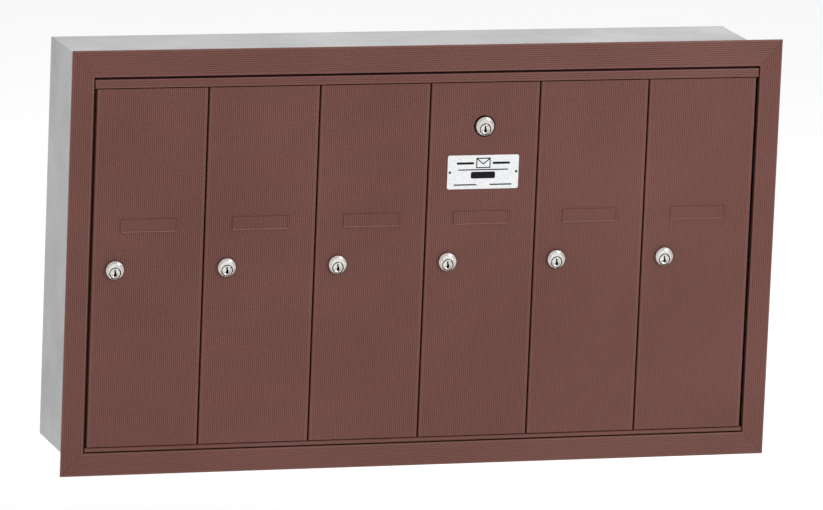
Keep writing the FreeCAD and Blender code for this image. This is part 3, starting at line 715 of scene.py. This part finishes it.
for number in DOORS:
    low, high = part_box(f"card_holder_{number}")
    ribs = [(x, y) for x, y in door_ring(*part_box(f"door_{number}_panel"))
            if low.x + LIP < x < high.x - LIP and y < high.y + MM]
    lift = high.y - low.y - LIP_RISE
    ring = [(low.x, low.y), (low.x + LIP, low.y)] + [(x, y - lift) for x, y in ribs]
    ring += [(high.x - LIP, low.y), (high.x, low.y), (high.x, high.y), (low.x, high.y)]
    bm = bmesh.new()
    along_z(bm, ring, low.z + LIP / 2, high.z)
    box(bm, (low.x + LIP_INSET, low.y + LIP_INSET, low.z),
        (high.x - LIP_INSET, high.y - LIP_INSET, low.z + LIP), 1)
    make(f"card_window_{number}", bm, [PAINT, EDGE], f"door_{number}",
         [f"card_holder_{number}"])


# ---------------------------------------------------------------- box, mullions and small steel parts

BEND, BEND_STEPS = 2.4 * MM, 8
WELD = MM / 1000


def finish_node(name, mat):
    """Gives a CAD node its material."""
    mesh = nodes[name].data
    mesh.materials.clear()
    mesh.materials.append(mat)


def bend_cutter(side, corner_x, corner_z, y0, y1):
    """The sliver outside a rounded bend at a top corner of the box."""
    ring = [(corner_x + PAST, corner_z + PAST), (corner_x + PAST, corner_z - BEND)]
    for step in range(BEND_STEPS + 1):
        angle = math.radians(90 * step / BEND_STEPS)
        ring.append((corner_x - BEND + BEND * math.cos(angle), corner_z - BEND + BEND * math.sin(angle)))
    ring.append((corner_x - BEND, corner_z + PAST))
    bm = bmesh.new()
    along_y(bm, [(side * x, z) for x, z in ring], y0, y1)
    return solid(bm)


wrap_low, wrap_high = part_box("body_wrap")
bm = bmesh.new()
bm.from_mesh(nodes["body_wrap"].data)
bm.transform(nodes["body_wrap"].matrix_world)
bmesh.ops.remove_doubles(bm, verts=bm.verts, dist=WELD)
wrap = make("body_shell", bm, [SHEET], "box", ["body_wrap"])
for polygon in wrap.data.polygons:
    polygon.material_index = 0
carve(wrap, [bend_cutter(side, wrap_high.x, wrap_high.z, wrap_low.y - PAST, wrap_high.y + PAST)
             for side in (-1, 1)])

for name in nodes:
    if nodes[name].hide_render:
        continue
    if name.startswith("body_rivets"):
        finish_node(name, RIVET)
    elif name.startswith(("body_", "divider")):
        finish_node(name, SHEET)
    elif "mullion" in name or "stile" in name:
        finish_node(name, PAINT)
    elif name in ("master_hinge_pins", "master_strike"):
        finish_node(name, PIN)
    else:
        finish_node(name, ZINC)


# ---------------------------------------------------------------- studio

FLOOR_RADIUS, FLOOR_DROP = 60, 0.22
SKY_DARK = (0.35, -0.80, -0.40)         # where the world is darkest
SKY = ((0.0, 1.05), (0.5, 0.92), (0.74, 0.82), (0.92, 0.50), (1.0, 0.34))
AZIMUTH, ELEVATION, ROLL = math.radians(-17.5), math.radians(12.0), math.radians(2.3)
LENS, SENSOR, DISTANCE = 319.45, 36.0, 9.0
AIM = (0.010, -0.085, -0.0168)


def studio_floor():
    """A wide pale disc below the unit."""
    mat, tree, shader = new_material("studio_floor")
    tone = ramp(tree, noise(tree, 0.5), [(0.3, (0.94, 0.94, 0.94)), (0.7, (0.96, 0.96, 0.96))])
    tree.links.new(tone, shader.inputs["Base Color"])
    shader.inputs["Roughness"].default_value = 0.9
    shader.inputs["Specular IOR Level"].default_value = 0.1
    bm = bmesh.new()
    bmesh.ops.create_circle(bm, cap_ends=True, radius=FLOOR_RADIUS, segments=64)
    floor = link_mesh("studio_floor", bm, [mat])
    floor.location = (0, 0, CAD_LOW.z - FLOOR_DROP)
    floor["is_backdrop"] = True


def area_light(name, place, target, size, power):
    data = bpy.data.lights.new(name, "AREA")
    data.shape = "RECTANGLE"
    data.size, data.size_y = size
    data.energy = power
    lamp = bpy.data.objects.new(name, data)
    lamp.location = place
    aim = Vector(target) - Vector(place)
    lamp.rotation_euler = aim.to_track_quat("-Z", "Y").to_euler()
    bpy.context.scene.collection.objects.link(lamp)


def studio_world():
    """A white world that darkens smoothly towards the front and below."""
    world = bpy.data.worlds.new("studio")
    bpy.context.scene.world = world
    world.use_nodes = True
    tree = world.node_tree
    way = tree.nodes.new("ShaderNodeTexCoord")
    lean = node(tree, "ShaderNodeVectorMath", operation="DOT_PRODUCT")
    lean.inputs[1].default_value = Vector(SKY_DARK).normalized()
    tree.links.new(way.outputs["Generated"], lean.inputs[0])
    reach = tree.nodes.new("ShaderNodeMapRange")
    reach.inputs["From Min"].default_value = -1.0
    tree.links.new(lean.outputs["Value"], reach.inputs["Value"])
    shade = ramp(tree, reach.outputs["Result"], [(place, (grey, grey, grey)) for place, grey in SKY])
    tree.links.new(shade, tree.nodes["Background"].inputs["Color"])
    tree.nodes["Background"].inputs["Strength"].default_value = 1.0
    bpy.context.scene.view_settings.view_transform = "Standard"


def camera():
    """A long lens at the photograph's viewing angle, rolled a little."""
    back = Vector((math.sin(AZIMUTH) * math.cos(ELEVATION), -math.cos(AZIMUTH) * math.cos(ELEVATION),
                   math.sin(ELEVATION)))
    data = bpy.data.cameras.new("camera")
    data.lens, data.sensor_width = LENS, SENSOR
    data.clip_start, data.clip_end = 0.5, 200.0
    cam = bpy.data.objects.new("camera", data)
    cam.location = Vector(AIM) + back * DISTANCE
    turn = (-back).to_track_quat("-Z", "Y").to_matrix() @ Matrix.Rotation(ROLL, 3, "Z")
    cam.rotation_euler = turn.to_euler()
    bpy.context.scene.collection.objects.link(cam)
    bpy.context.scene.camera = cam


studio_floor()
studio_world()
area_light("key", (2.2, -3.0, 1.8), (0, -0.1, 0), (1.2, 1.0), 58)
area_light("top", (1.2, 0.4, 2.6), (0.2, 0, 0), (1.6, 1.2), 20)
camera()

low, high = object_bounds()
